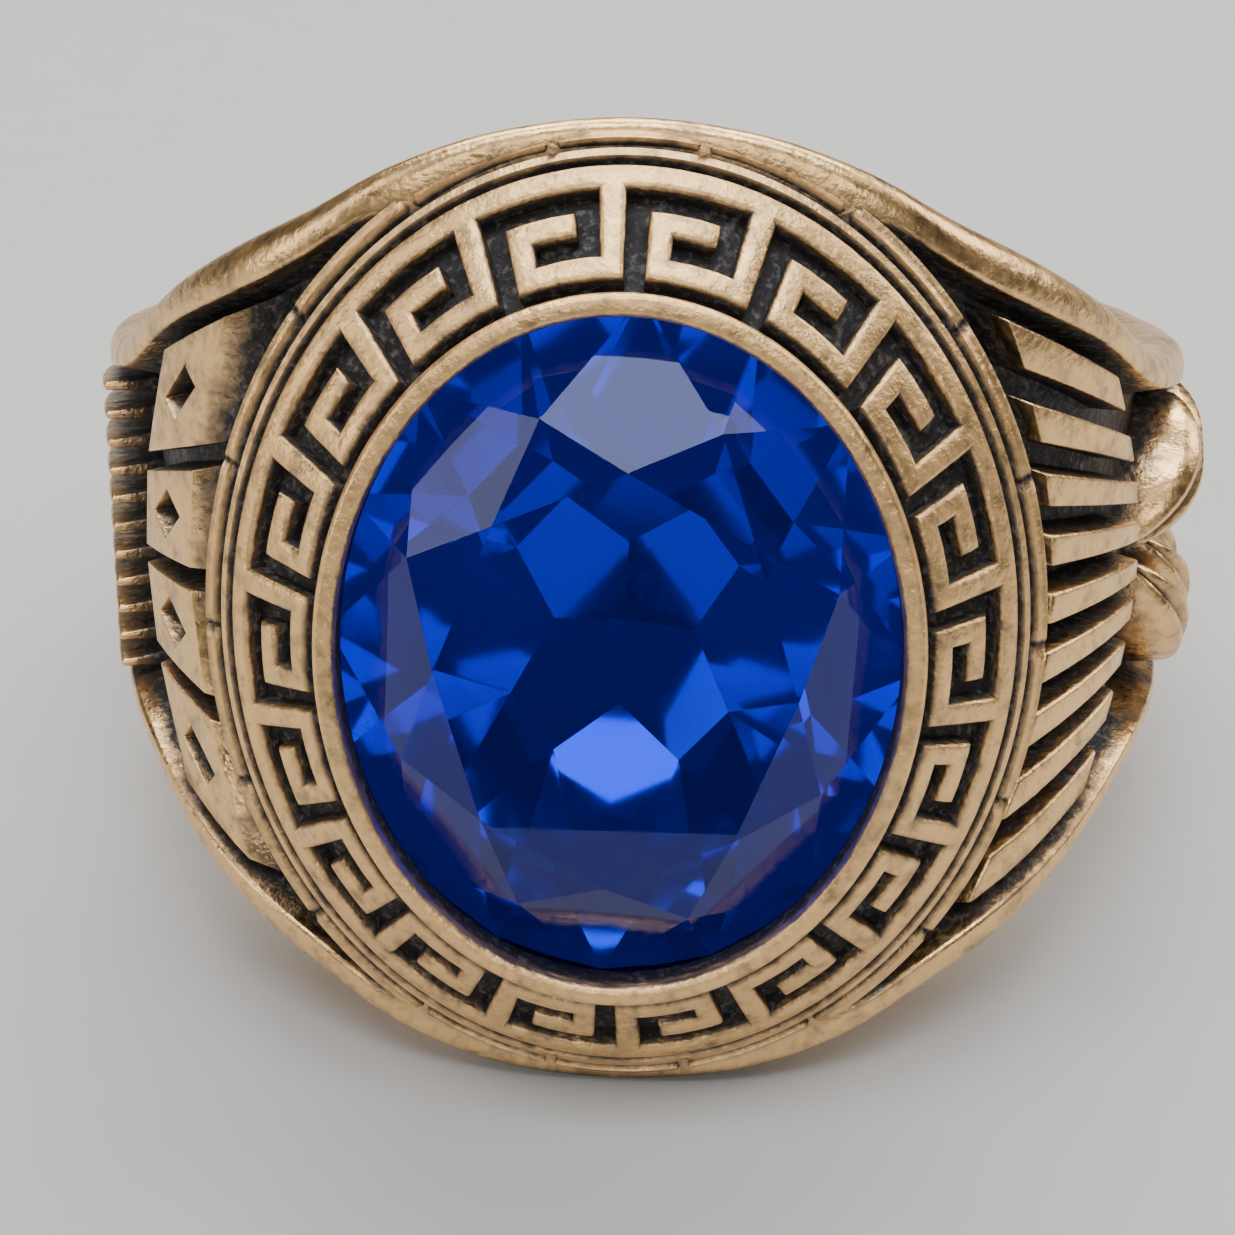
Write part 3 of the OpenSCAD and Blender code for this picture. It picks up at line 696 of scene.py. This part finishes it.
class RING_OT_head(bpy.types.Operator):
    """Head: the double rim, the sloping band and the lip that holds the stone"""
    bl_idname = "ring.head"
    bl_label = "Head"

    def execute(self, context):
        f = millimetres(context.scene.ring_sizes)
        h = f.relief

        def lip(out, down):
            return (f.lip_out[0] - out, f.lip_out[1] - out, f.lip_n - down)

        rows = [(f.rim_width / 2 - 0.7, f.rim_length / 2 - 1.3, f.bore_r + 0.8),
                (f.rim_width / 2 - 0.16, f.rim_length / 2 - 0.16, f.rim_n - 0.35)]
        rows += [band_row(f, share, h - depth) for share, depth in RIM_ROWS]
        rows += [band_row(f, share, lift) for share, lift in GROUND_ROWS]
        rows += [lip(*row) for row in LIP_ROWS]
        well = [(w + HAIR, l + HAIR, n) for w, l, n in well_rows(f)[1:]]
        over_crown = stone_heights(f)[0] / (1 - STAR) * (1 - 2 * f.lip_in[0] / f.stone_width)
        rows += [lip(LIP_WIDTH, f.girdle_drop - GIRDLE_GAP - over_crown)] + well[::-1]
        piece = oval_tower("head", rows, sides=20 * f.keys)
        inner, outer = band_row(f, 0.155, h), band_row(f, -0.02, h)

        def in_notch(co):
            """On the top of the double rim, where a small notch is cut across it."""
            u = math.atan2(co.y / inner[1], co.x / inner[0])
            n = co.z / MM
            near = math.hypot(co.x / outer[0], co.y / outer[1]) / MM
            turn = u / (2 * math.pi) * f.keys
            return f.rim_n - 0.3 < n < inner[2] + 0.02 and near > 0.965 and abs(turn - round(turn)) < NOTCH_WIDTH

        choose(piece, in_notch)
        bpy.ops.transform.translate(value=(0, 0, -NOTCH_DEPTH * MM))
        bpy.ops.object.mode_set(mode="OBJECT")

        def height(p):
            """Over the band's ground, as a share of the relief."""
            if p.z < f.rim_n - 0.4 or p.z > f.lip_n - 0.17:
                return 1
            if math.hypot(p.x / f.rim_width * 2, p.y / f.rim_length * 2) <= 0.6:
                return 0
            u = math.atan2(p.y / f.rim_length, p.x / f.rim_width)
            rows = band_row(f, 0, 0), band_row(f, 1, 0)
            a, b = (Vector((w * math.cos(u), l * math.sin(u), n)) for w, l, n in rows)
            along = (b - a).normalized()
            return ((p - a) - along * (p - a).dot(along)).length / h

        remember_height(piece, height)
        hand_over(piece, "ring_body", grained_gold(context.scene.ring_finish), angle=50)
        return {"FINISHED"}


KEY_CHART = ((1, 1, 1, 1, 1), (1, 0, 0, 0, 0), (1, 0, 1, 1, 0), (1, 0, 0, 1, 0), (1, 1, 1, 1, 0))
KEY_LOW, KEY_HIGH = 0.2, 0.92  # shares of the band
KEY_ROOT, KEY_ROUND = 0.12, 0.1


class RING_OT_key_border(bpy.types.Operator):
    """Key border: one key raised from a grid, repeated along a strip and wrapped round the band"""
    bl_idname = "ring.key_border"
    bl_label = "Key border"

    def execute(self, context):
        f = millimetres(context.scene.ring_sizes)
        line = f.key_line
        gap = ((KEY_HIGH - KEY_LOW) * f.band_len - 3 * line) / 2
        pitch = f.band_round / f.keys
        across = (0, line, line + gap, pitch - gap - line, pitch - gap, pitch)
        up = [KEY_LOW * f.band_len + math.ceil(i / 2) * line + (i // 2) * gap for i in range(6)]
        deselect()
        bpy.ops.mesh.primitive_grid_add(x_subdivisions=5, y_subdivisions=5, size=5 * MM,
                                        location=(2.5 * MM, 2.5 * MM, 0))
        piece = begin("key_border")
        bpy.ops.object.mode_set(mode="OBJECT")
        bpy.ops.object.transform_apply(location=True, rotation=True, scale=True)
        choose(piece, lambda co, no: not KEY_CHART[int(co.y / MM)][int(co.x / MM)], "FACE")
        bpy.ops.mesh.delete(type="FACE")
        shape(piece, lambda co: Vector((across[round(co.x / MM)], up[round(co.y / MM)], -KEY_ROOT)) * MM)
        row = piece.modifiers.new("row", "ARRAY")
        row.count, row.use_relative_offset, row.use_constant_offset = f.keys, False, True
        row.constant_offset_displace = (pitch * MM, 0, 0)
        row.use_merge_vertices, row.merge_threshold = True, 1e-6
        apply_modifiers(piece)
        bpy.ops.object.mode_set(mode="EDIT")
        bpy.ops.mesh.select_mode(type="FACE")
        bpy.ops.mesh.select_all(action="SELECT")
        bpy.ops.mesh.subdivide(number_cuts=1)
        # The strip is rolled up round an axis and raised from it
        roll = pitch * f.keys / (2 * math.pi)

        def rolled(co):
            a = co.x / MM / roll
            return Vector(((roll - KEY_ROOT) * math.cos(a), (roll - KEY_ROOT) * math.sin(a), co.y / MM)) * MM

        shape(piece, rolled)
        close_up(piece)
        bpy.ops.object.mode_set(mode="EDIT")
        bpy.ops.mesh.select_all(action="SELECT")
        bpy.ops.mesh.extrude_region_move()
        grow = (roll + f.relief) / (roll - KEY_ROOT)
        bpy.ops.transform.resize(value=(grow, grow, 1), center_override=(0, 0, 0))
        bpy.ops.mesh.region_to_loop()
        bpy.ops.mesh.bevel(offset=KEY_ROUND * MM, offset_type="OFFSET", segments=3, profile=0.5, affect="EDGES")
        remember_height(piece, lambda p: (math.hypot(p.x, p.y) - roll) / f.relief)

        def on_band(co):
            u = band_angle(f, math.atan2(co.y, co.x) * roll)
            w, l, n = band_row(f, co.z / MM / f.band_len, math.hypot(co.x, co.y) / MM - roll)
            return Vector((w * math.cos(u), l * math.sin(u), n)) * MM

        shape(piece, on_band)
        close_up(piece)
        hand_over(piece, "ring_body", grained_gold(context.scene.ring_finish))
        return {"FINISHED"}


BLOCK_ROOT, BLOCK_DRAFT, BLOCK_ROUND, BLOCK_STEPS = 0.2, 0.1, 0.07, 6
# The lozenge's reach as a share of the block, its depth, and what is left of its width at the bottom
LOZENGE_REACH, LOZENGE_DEPTH, LOZENGE_TAPER = 0.26, 0.45, 0.7


def block_on_shoulder(f, name, corners, rise, side, slope=0.0, worn=0.0, lozenge=False):
    """A block with leaning sides and round edges, laid on the shank over four corners of angle and place.

    Its top lies at rise over the crest, on the side of the ring that side gives. Its end at the rim leans
    back by slope, worn keeps the film low on its flanks, and a lozenge can be sunk into its top.
    """
    long = (corners[1][0] - corners[0][0]) * math.pi / 180 * outer_r(f, corners[0][0])
    wide = abs(corners[3][1] - corners[0][1])
    low = -f.field - BLOCK_ROOT
    deselect()
    bpy.ops.mesh.primitive_cube_add(size=MM, location=(0, 0, (low + rise) / 2 * MM),
                                    scale=(long, wide, rise - low))
    piece = begin(name)
    bpy.ops.object.mode_set(mode="OBJECT")
    bpy.ops.object.transform_apply(location=True, rotation=True, scale=True)
    choose(piece, lambda co, no: no.z > 0.9, "FACE")
    bpy.ops.transform.resize(value=(1 - 2 * BLOCK_DRAFT / long, 1 - 2 * BLOCK_DRAFT / wide, 1),
                             center_override=(0, 0, 0))
    if slope:
        choose(piece, lambda co: co.z > low / 2 * MM and co.x < 0)
        bpy.ops.transform.translate(value=(slope * MM, 0, 0))
    # Cuts across let it follow the curve of the shank; slanting ones bound the sunk lozenge
    cuts = [((i / BLOCK_STEPS - 0.5) * long, 0, (1, 0, 0)) for i in range(1, BLOCK_STEPS)]
    half_l, half_w = LOZENGE_REACH * (long - slope), LOZENGE_REACH * wide
    if lozenge:
        cuts += [(slope / 2 + x * half_l, 0, (x / half_l, y / half_w, 0)) for x in (-1, 1) for y in (-1, 1)]
    for x, y, no in cuts:
        bpy.ops.mesh.select_all(action="SELECT")
        bpy.ops.mesh.bisect(plane_co=(x * MM, y * MM, 0), plane_no=no, threshold=1e-7)
    if lozenge:
        choose(piece, lambda co, no: no.z > 0.9
               and abs(co.x - slope / 2 * MM) / half_l + abs(co.y) / half_w < MM, "FACE")
        bpy.ops.mesh.extrude_region_move(TRANSFORM_OT_translate={"value": (0, 0, -LOZENGE_DEPTH * MM)})
        bpy.ops.transform.resize(value=(LOZENGE_TAPER, LOZENGE_TAPER, 1),
                                 center_override=(slope / 2 * MM, 0, 0))
    bpy.ops.object.mode_set(mode="OBJECT")
    round_off = piece.modifiers.new("round", "BEVEL")
    round_off.width, round_off.segments, round_off.limit_method = BLOCK_ROUND * MM, 3, "ANGLE"
    round_off.angle_limit = math.radians(30)
    apply_modifiers(piece)
    remember_height(piece, lambda p: worn + (p.z + f.field) / (rise + f.field))

    def wrap(co):
        s, t = co.x / MM / long + 0.5, co.y / MM / wide + 0.5
        a = lerp(lerp(corners[0][0], corners[1][0], s), lerp(corners[3][0], corners[2][0], s), t)
        y = lerp(lerp(corners[0][1], corners[1][1], s), lerp(corners[3][1], corners[2][1], s), t)
        r = outer_r(f, a) + co.z / MM
        return Vector((side * r * math.sin(math.radians(a)), y, r * math.cos(math.radians(a)))) * MM

    shape(piece, wrap)
    close_up(piece)
    return piece


CREST_GAP = 0.15  # between the ornament and the crests
RIM_MEETS = 32  # degrees from the stone at which the rim's outline lies on the shank


def on_shoulder(f, q, a):
    """A place at a share of the room between the crests."""
    return a, q * (half_width(f, a) - shank("edge", a) - CREST_GAP)


def rim_angle(f, q):
    """Angle from the stone at which the rim's outline meets a share of the room."""
    y = on_shoulder(f, q, RIM_MEETS)[1]
    x = f.rim_width / 2 * math.sqrt(1 - (y / (f.rim_length / 2)) ** 2)
    return math.degrees(math.asin(min(1, x / outer_r(f, RIM_MEETS))))


def along_rim(f, q0, q1, end0, end1, gap):
    """Corners of a block between two shares of the room, from a gap in degrees past the rim to its ends."""
    return [on_shoulder(f, q0, rim_angle(f, q0) + gap), on_shoulder(f, q0, end0),
            on_shoulder(f, q1, end1), on_shoulder(f, q1, rim_angle(f, q1) + gap)]


def shares(count, filled):
    """Shares of the room at which each of a row of blocks begins and ends."""
    return [((2 * i + 1 - filled) / count - 1, (2 * i + 1 + filled) / count - 1) for i in range(count)]


BLOCK_TOP, SMALL_BAR_TOP = -0.12, 0.2  # over the crest
BAR_END, BAR_END_CURVE = 52, 9  # degrees


class RING_OT_right_shoulder(bpy.types.Operator):
    """Right shoulder: nine bars that fan out from the rim"""
    bl_idname = "ring.right_shoulder"
    bl_label = "Right shoulder bars"

    def execute(self, context):
        f = millimetres(context.scene.ring_sizes)
        bars = []
        for q0, q1 in shares(count=9, filled=0.68):
            corners = along_rim(f, q0, q1, *(BAR_END - BAR_END_CURVE * q * q for q in (q0, q1)), gap=1.2)
            bars.append(block_on_shoulder(f, "bar", corners, BLOCK_TOP, 1, slope=0.45))
        piece = join(bars, "shoulder_bars")
        hand_over(piece, "ring_body", antiqued_and_shaded_gold("filmed_gold", context.scene.ring_finish))
        return {"FINISHED"}


BLOCK_SPAN, SMALL_BAR_ENDS = 17, (58, 82)  # degrees


class RING_OT_left_shoulder(bpy.types.Operator):
    """Left shoulder: four blocks that follow the rim, and a column of small bars beyond them"""
    bl_idname = "ring.left_shoulder"
    bl_label = "Left shoulder blocks"

    def execute(self, context):
        f = millimetres(context.scene.ring_sizes)
        blocks = []
        for q0, q1 in shares(count=4, filled=0.88):
            corners = along_rim(f, q0, q1, *(rim_angle(f, q) + BLOCK_SPAN for q in (q0, q1)), gap=0.6)
            blocks.append(block_on_shoulder(f, "block", corners, BLOCK_TOP, -1, slope=1.4, lozenge=True))
        for q0, q1 in shares(count=11, filled=0.6):
            corners = [on_shoulder(f, q, a) for q, a in zip((q0, q0, q1, q1), SMALL_BAR_ENDS + SMALL_BAR_ENDS[::-1])]
            blocks.append(block_on_shoulder(f, "small_bar", corners, SMALL_BAR_TOP, -1, worn=0.4))
        piece = join(blocks, "shoulder_blocks")
        hand_over(piece, "ring_body", antiqued_and_shaded_gold("filmed_gold", context.scene.ring_finish))
        return {"FINISHED"}


LEAF_LENGTH, LEAF_WIDTH, LEAF_HEIGHT, LEAF_TURN = 3.8, 1.7, 1.7, 48
LEAF_PAIRS, LAST_LEAF = (61, 71, 81, 91), 101  # degrees from the stone


class RING_OT_sprig(bpy.types.Operator):
    """Sprig: one leaf shaped from a grid and copied in pairs along the right side"""
    bl_idname = "ring.sprig"
    bl_label = "Sprig"

    def execute(self, context):
        f = millimetres(context.scene.ring_sizes)
        reach = LEAF_LENGTH / 2 * math.sin(math.radians(LEAF_TURN)) + 0.1
        places = [(a, side * reach, side * LEAF_TURN) for a in LEAF_PAIRS for side in (-1, 1)] + [(LAST_LEAF, 0, 0)]
        deselect()
        bpy.ops.mesh.primitive_grid_add(x_subdivisions=14, y_subdivisions=10, size=2 * MM)
        leaf = begin("leaf")
        bpy.ops.mesh.select_all(action="SELECT")
        bpy.ops.mesh.extrude_region_move(TRANSFORM_OT_translate={"value": (0, 0, MM)})
        bpy.ops.object.mode_set(mode="OBJECT")
        layer = leaf.data.attributes.new("height", "FLOAT", "POINT")

        def blade(co):
            t, v, top = co.x / MM * 0.97, co.y / MM, co.z > 0.5 * MM
            full = (1 - t * t) ** 0.75
            hump = (1 - abs(v) ** 2.4) * (0.78 + 0.22 * min(1, abs(v) / 0.32))
            z = -0.3 * LEAF_HEIGHT if not top else lerp(-0.1, lerp(full, 1, 0.25), hump) * LEAF_HEIGHT
            return Vector((t * LEAF_LENGTH / 2, v * full * LEAF_WIDTH / 2, z)) * MM

        shape(leaf, blade)
        for v, value in zip(leaf.data.vertices, layer.data):
            value.value = max(0.0, min(1.0, 0.45 + v.co.z / MM / LEAF_HEIGHT))
        leaves = []
        for a, y, spin in places:
            copy = leaf.copy()
            copy.data = leaf.data.copy()
            context.scene.collection.objects.link(copy)
            turn_up = Matrix.Rotation(math.radians(a), 4, "Y")
            put = Matrix.Translation(Vector((0, y, outer_r(f, a) - f.field)) * MM)
            copy.data.transform(turn_up @ put @ Matrix.Rotation(math.radians(spin), 4, "Z"))
            leaves.append(copy)
        bpy.data.objects.remove(leaf)
        piece = join(leaves, "leaf_sprig")
        close_up(piece)
        hand_over(piece, "ring_body", antiqued_and_shaded_gold("filmed_gold", context.scene.ring_finish),
                  angle=60)
        return {"FINISHED"}


class RING_OT_stone(bpy.types.Operator):
    """Stone: a rough cylinder cut facet by facet, then drawn out to its oval"""
    bl_idname = "ring.stone"
    bl_label = "Oval stone"

    def execute(self, context):
        f = millimetres(context.scene.ring_sizes)
        star_n, _, knee_n = stone_heights(f)
        low = -f.girdle
        depth = low - f.pavilion
        # It is cut as a round stone ten units across, with heights as they are in millimetres
        deselect()
        bpy.ops.mesh.primitive_cylinder_add(vertices=32, radius=ROUND_R, depth=f.crown - depth + 1,
                                            location=(0, 0, (f.crown + depth) / 2))
        piece = begin("oval_stone")
        bpy.ops.object.mode_set(mode="OBJECT")
        bpy.ops.object.transform_apply(location=True, rotation=True, scale=True)
        bpy.ops.object.mode_set(mode="EDIT")
        bpy.ops.mesh.select_mode(type="VERT")

        def corner(share, a, n):
            r = ROUND_R * share
            return Vector((r * math.cos(math.radians(a)), r * math.sin(math.radians(a)), n))

        def cut(p, q, r):
            """Grinds a facet through three places; the stone's middle is kept."""
            normal = (q - p).cross(r - p).normalized()
            if normal.dot(p - Vector((0, 0, low))) < 0:
                normal = -normal
            bpy.ops.mesh.select_all(action="SELECT")
            bpy.ops.mesh.bisect(plane_co=p, plane_no=normal, use_fill=True, clear_outer=True, threshold=1e-5)

        cut(corner(TABLE, 0, f.crown), corner(TABLE, 120, f.crown), corner(TABLE, 240, f.crown))
        for k in range(8):
            a = k * 45
            mid = a + 22.5
            knee = (a // 90) * 90 + (KNEE_ANGLE if a % 90 < 45 else 90 - KNEE_ANGLE)
            cut(corner(TABLE, a, f.crown), corner(TABLE, a + 45, f.crown), corner(STAR, mid, star_n))
            cut(corner(TABLE, a, f.crown), corner(STAR, mid, star_n), corner(STAR, a - 22.5, star_n))
            for side in (-1, 1):
                end = mid + side * 22.5
                cut(corner(STAR, mid, star_n), corner(1, mid, 0), corner(1, end, 0))
                cut(corner(KNEE, knee, knee_n + low), corner(1, mid, low), corner(1, end, low))
        for a in range(0, 360, 90):
            before, inner, outer = (corner(KNEE, turn, knee_n + low)
                                    for turn in (a - KNEE_ANGLE, a + KNEE_ANGLE, a + 90 - KNEE_ANGLE))
            cut(corner(1, a, low), inner, before)
            cut(corner(1, a + 45, low), inner, outer)
            cut(corner(0, 0, depth), inner, outer)
        bpy.ops.mesh.select_all(action="SELECT")
        bpy.ops.mesh.remove_doubles(threshold=1e-4)
        bpy.ops.object.mode_set(mode="OBJECT")
        turn = Matrix.Rotation(math.radians(FACET_TURN), 4, "Z")
        oval = Matrix.Diagonal((f.stone_width / 10 * MM, f.stone_length / 10 * MM, MM, 1))
        piece.data.transform(Matrix.Translation((0, 0, f.girdle_n * MM)) @ oval @ turn)
        close_up(piece, 1e-7)
        hand_over(piece, "stone", blue_gem(context.scene.ring_finish), angle=0)
        piece.data.materials.append(foil_back(context.scene.ring_finish))
        back = LYING.to_3x3() @ Vector((0, 0, -1))
        for face in piece.data.polygons:
            face.material_index = 1 if face.normal.dot(back) > 0.1 else 0
        return {"FINISHED"}


# ---------------------------------------------------------------- stage


# The camera as fitted to the photo: the photo's side and the lip's place below its middle in pixels, pixels
# to a millimetre at the lip, the camera's distance in millimetres and its angles up and aside in degrees
PHOTO_SIDE, LIP_BELOW, PIXELS_PER_MM, DISTANCE, UP, ASIDE = 1235, 53.5, 60.3, 34, 33.15, 2.3
SENSOR = 36
WARM, COOL = (1.0, 0.97, 0.93), (0.88, 0.92, 1.0)
# Each light's place, size, radiance and tint
LIGHTS = {
    "sky_box": ((0.0, -0.075, 0.30), (0.30, 0.14), 7.0, COOL),
    "front_box": ((0.0, -0.27, 0.14), (0.30, 0.10), 3.0, WARM),
    "left_box": ((-0.22, -0.08, 0.11), (0.10, 0.18), 3.0, WARM),
    "right_box": ((0.20, 0.08, 0.14), (0.16, 0.12), 4.0, WARM),
    "back_box": ((0.0, 0.17, 0.24), (0.32, 0.16), 7.0, WARM),
}
ROOM, ROOM_STRENGTH = (0.60, 0.575, 0.54, 1), 0.14
FLOOR_SIDE, FLOOR_MIDDLE = 0.5, (0, 0.195, 0)


def soft_box(name, place, size, radiance, tint):
    """An evenly lit panel that faces the ring."""
    light = bpy.data.lights.new(name, "AREA")
    light.shape = "RECTANGLE"
    light.size, light.size_y = size
    light.energy = radiance * math.pi * size[0] * size[1]
    light.color = tint
    lamp = bpy.data.objects.new(name, light)
    lamp.location = place
    lamp.rotation_euler = (Vector((0, 0, 0.008)) - Vector(place)).to_track_quat("-Z", "Y").to_euler()
    bpy.context.scene.collection.objects.link(lamp)


class RING_OT_stage(bpy.types.Operator):
    """Stage: the pale floor, the soft lights and the camera"""
    bl_idname = "ring.stage"
    bl_label = "Floor, lights and camera"

    def execute(self, context):
        f = millimetres(context.scene.ring_sizes)
        scene = context.scene
        deselect()
        bpy.ops.mesh.primitive_grid_add(x_subdivisions=24, y_subdivisions=24, size=FLOOR_SIDE, location=FLOOR_MIDDLE)
        floor = begin("pale_floor")
        bpy.ops.object.mode_set(mode="OBJECT")
        bpy.ops.object.transform_apply(location=True, rotation=True, scale=True)
        floor.data.materials.append(pale_floor(scene.ring_finish))

        lip = LYING @ Vector((0, 0, f.lip_n * MM))
        up, side = math.radians(UP), math.radians(ASIDE)
        to_camera = Vector((math.sin(side), -math.cos(side) * math.cos(up), math.cos(side) * math.sin(up)))
        camera = bpy.data.cameras.new("camera")
        camera.lens = PIXELS_PER_MM * DISTANCE * SENSOR / PHOTO_SIDE
        camera.clip_start = 0.001
        holder = bpy.data.objects.new("camera", camera)
        holder.location = lip + to_camera * DISTANCE * MM
        down = Matrix.Rotation(math.atan(LIP_BELOW / (PIXELS_PER_MM * DISTANCE)), 4, "X")
        look = (-to_camera).to_track_quat("-Z", "Y").to_matrix().to_4x4()
        holder.matrix_world = Matrix.Translation(holder.location) @ look @ down
        scene.collection.objects.link(holder)
        scene.camera = holder

        for name, settings in LIGHTS.items():
            soft_box(name, *settings)
        world = bpy.data.worlds.new("room")
        scene.world = world
        world.use_nodes = True
        world.node_tree.nodes["Background"].inputs[0].default_value = ROOM
        world.node_tree.nodes["Background"].inputs[1].default_value = ROOM_STRENGTH
        return {"FINISHED"}


class RING_PT_panel(bpy.types.Panel):
    """The ring's sizes, finishes and pieces"""
    bl_idname = "RING_PT_panel"
    bl_label = "Class ring"
    bl_space_type = "VIEW_3D"
    bl_region_type = "UI"
    bl_category = "Ring"

    def draw(self, context):
        for step in STEPS:
            self.layout.operator(step.bl_idname)
        for group in (context.scene.ring_sizes, context.scene.ring_finish):
            for key in group.__annotations__:
                self.layout.prop(group, key)


STEPS = (RING_OT_shank, RING_OT_head, RING_OT_key_border, RING_OT_right_shoulder, RING_OT_left_shoulder,
         RING_OT_sprig, RING_OT_stone, RING_OT_stage)
CLASSES = (RingSizes, RingFinish) + STEPS + (RING_PT_panel,)


def register():
    for cls in CLASSES:
        bpy.utils.register_class(cls)
    bpy.types.Scene.ring_sizes = bpy.props.PointerProperty(type=RingSizes)
    bpy.types.Scene.ring_finish = bpy.props.PointerProperty(type=RingFinish)


def unregister():
    del bpy.types.Scene.ring_finish
    del bpy.types.Scene.ring_sizes
    for cls in reversed(CLASSES):
        bpy.utils.unregister_class(cls)


def main():
    register()
    for step in (bpy.ops.ring.shank, bpy.ops.ring.head, bpy.ops.ring.key_border, bpy.ops.ring.right_shoulder,
                 bpy.ops.ring.left_shoulder, bpy.ops.ring.sprig, bpy.ops.ring.stone, bpy.ops.ring.stage):
        if step() != {"FINISHED"}:
            raise RuntimeError(f"{step.idname()} did not finish")


if __name__ == "__main__":
    main()
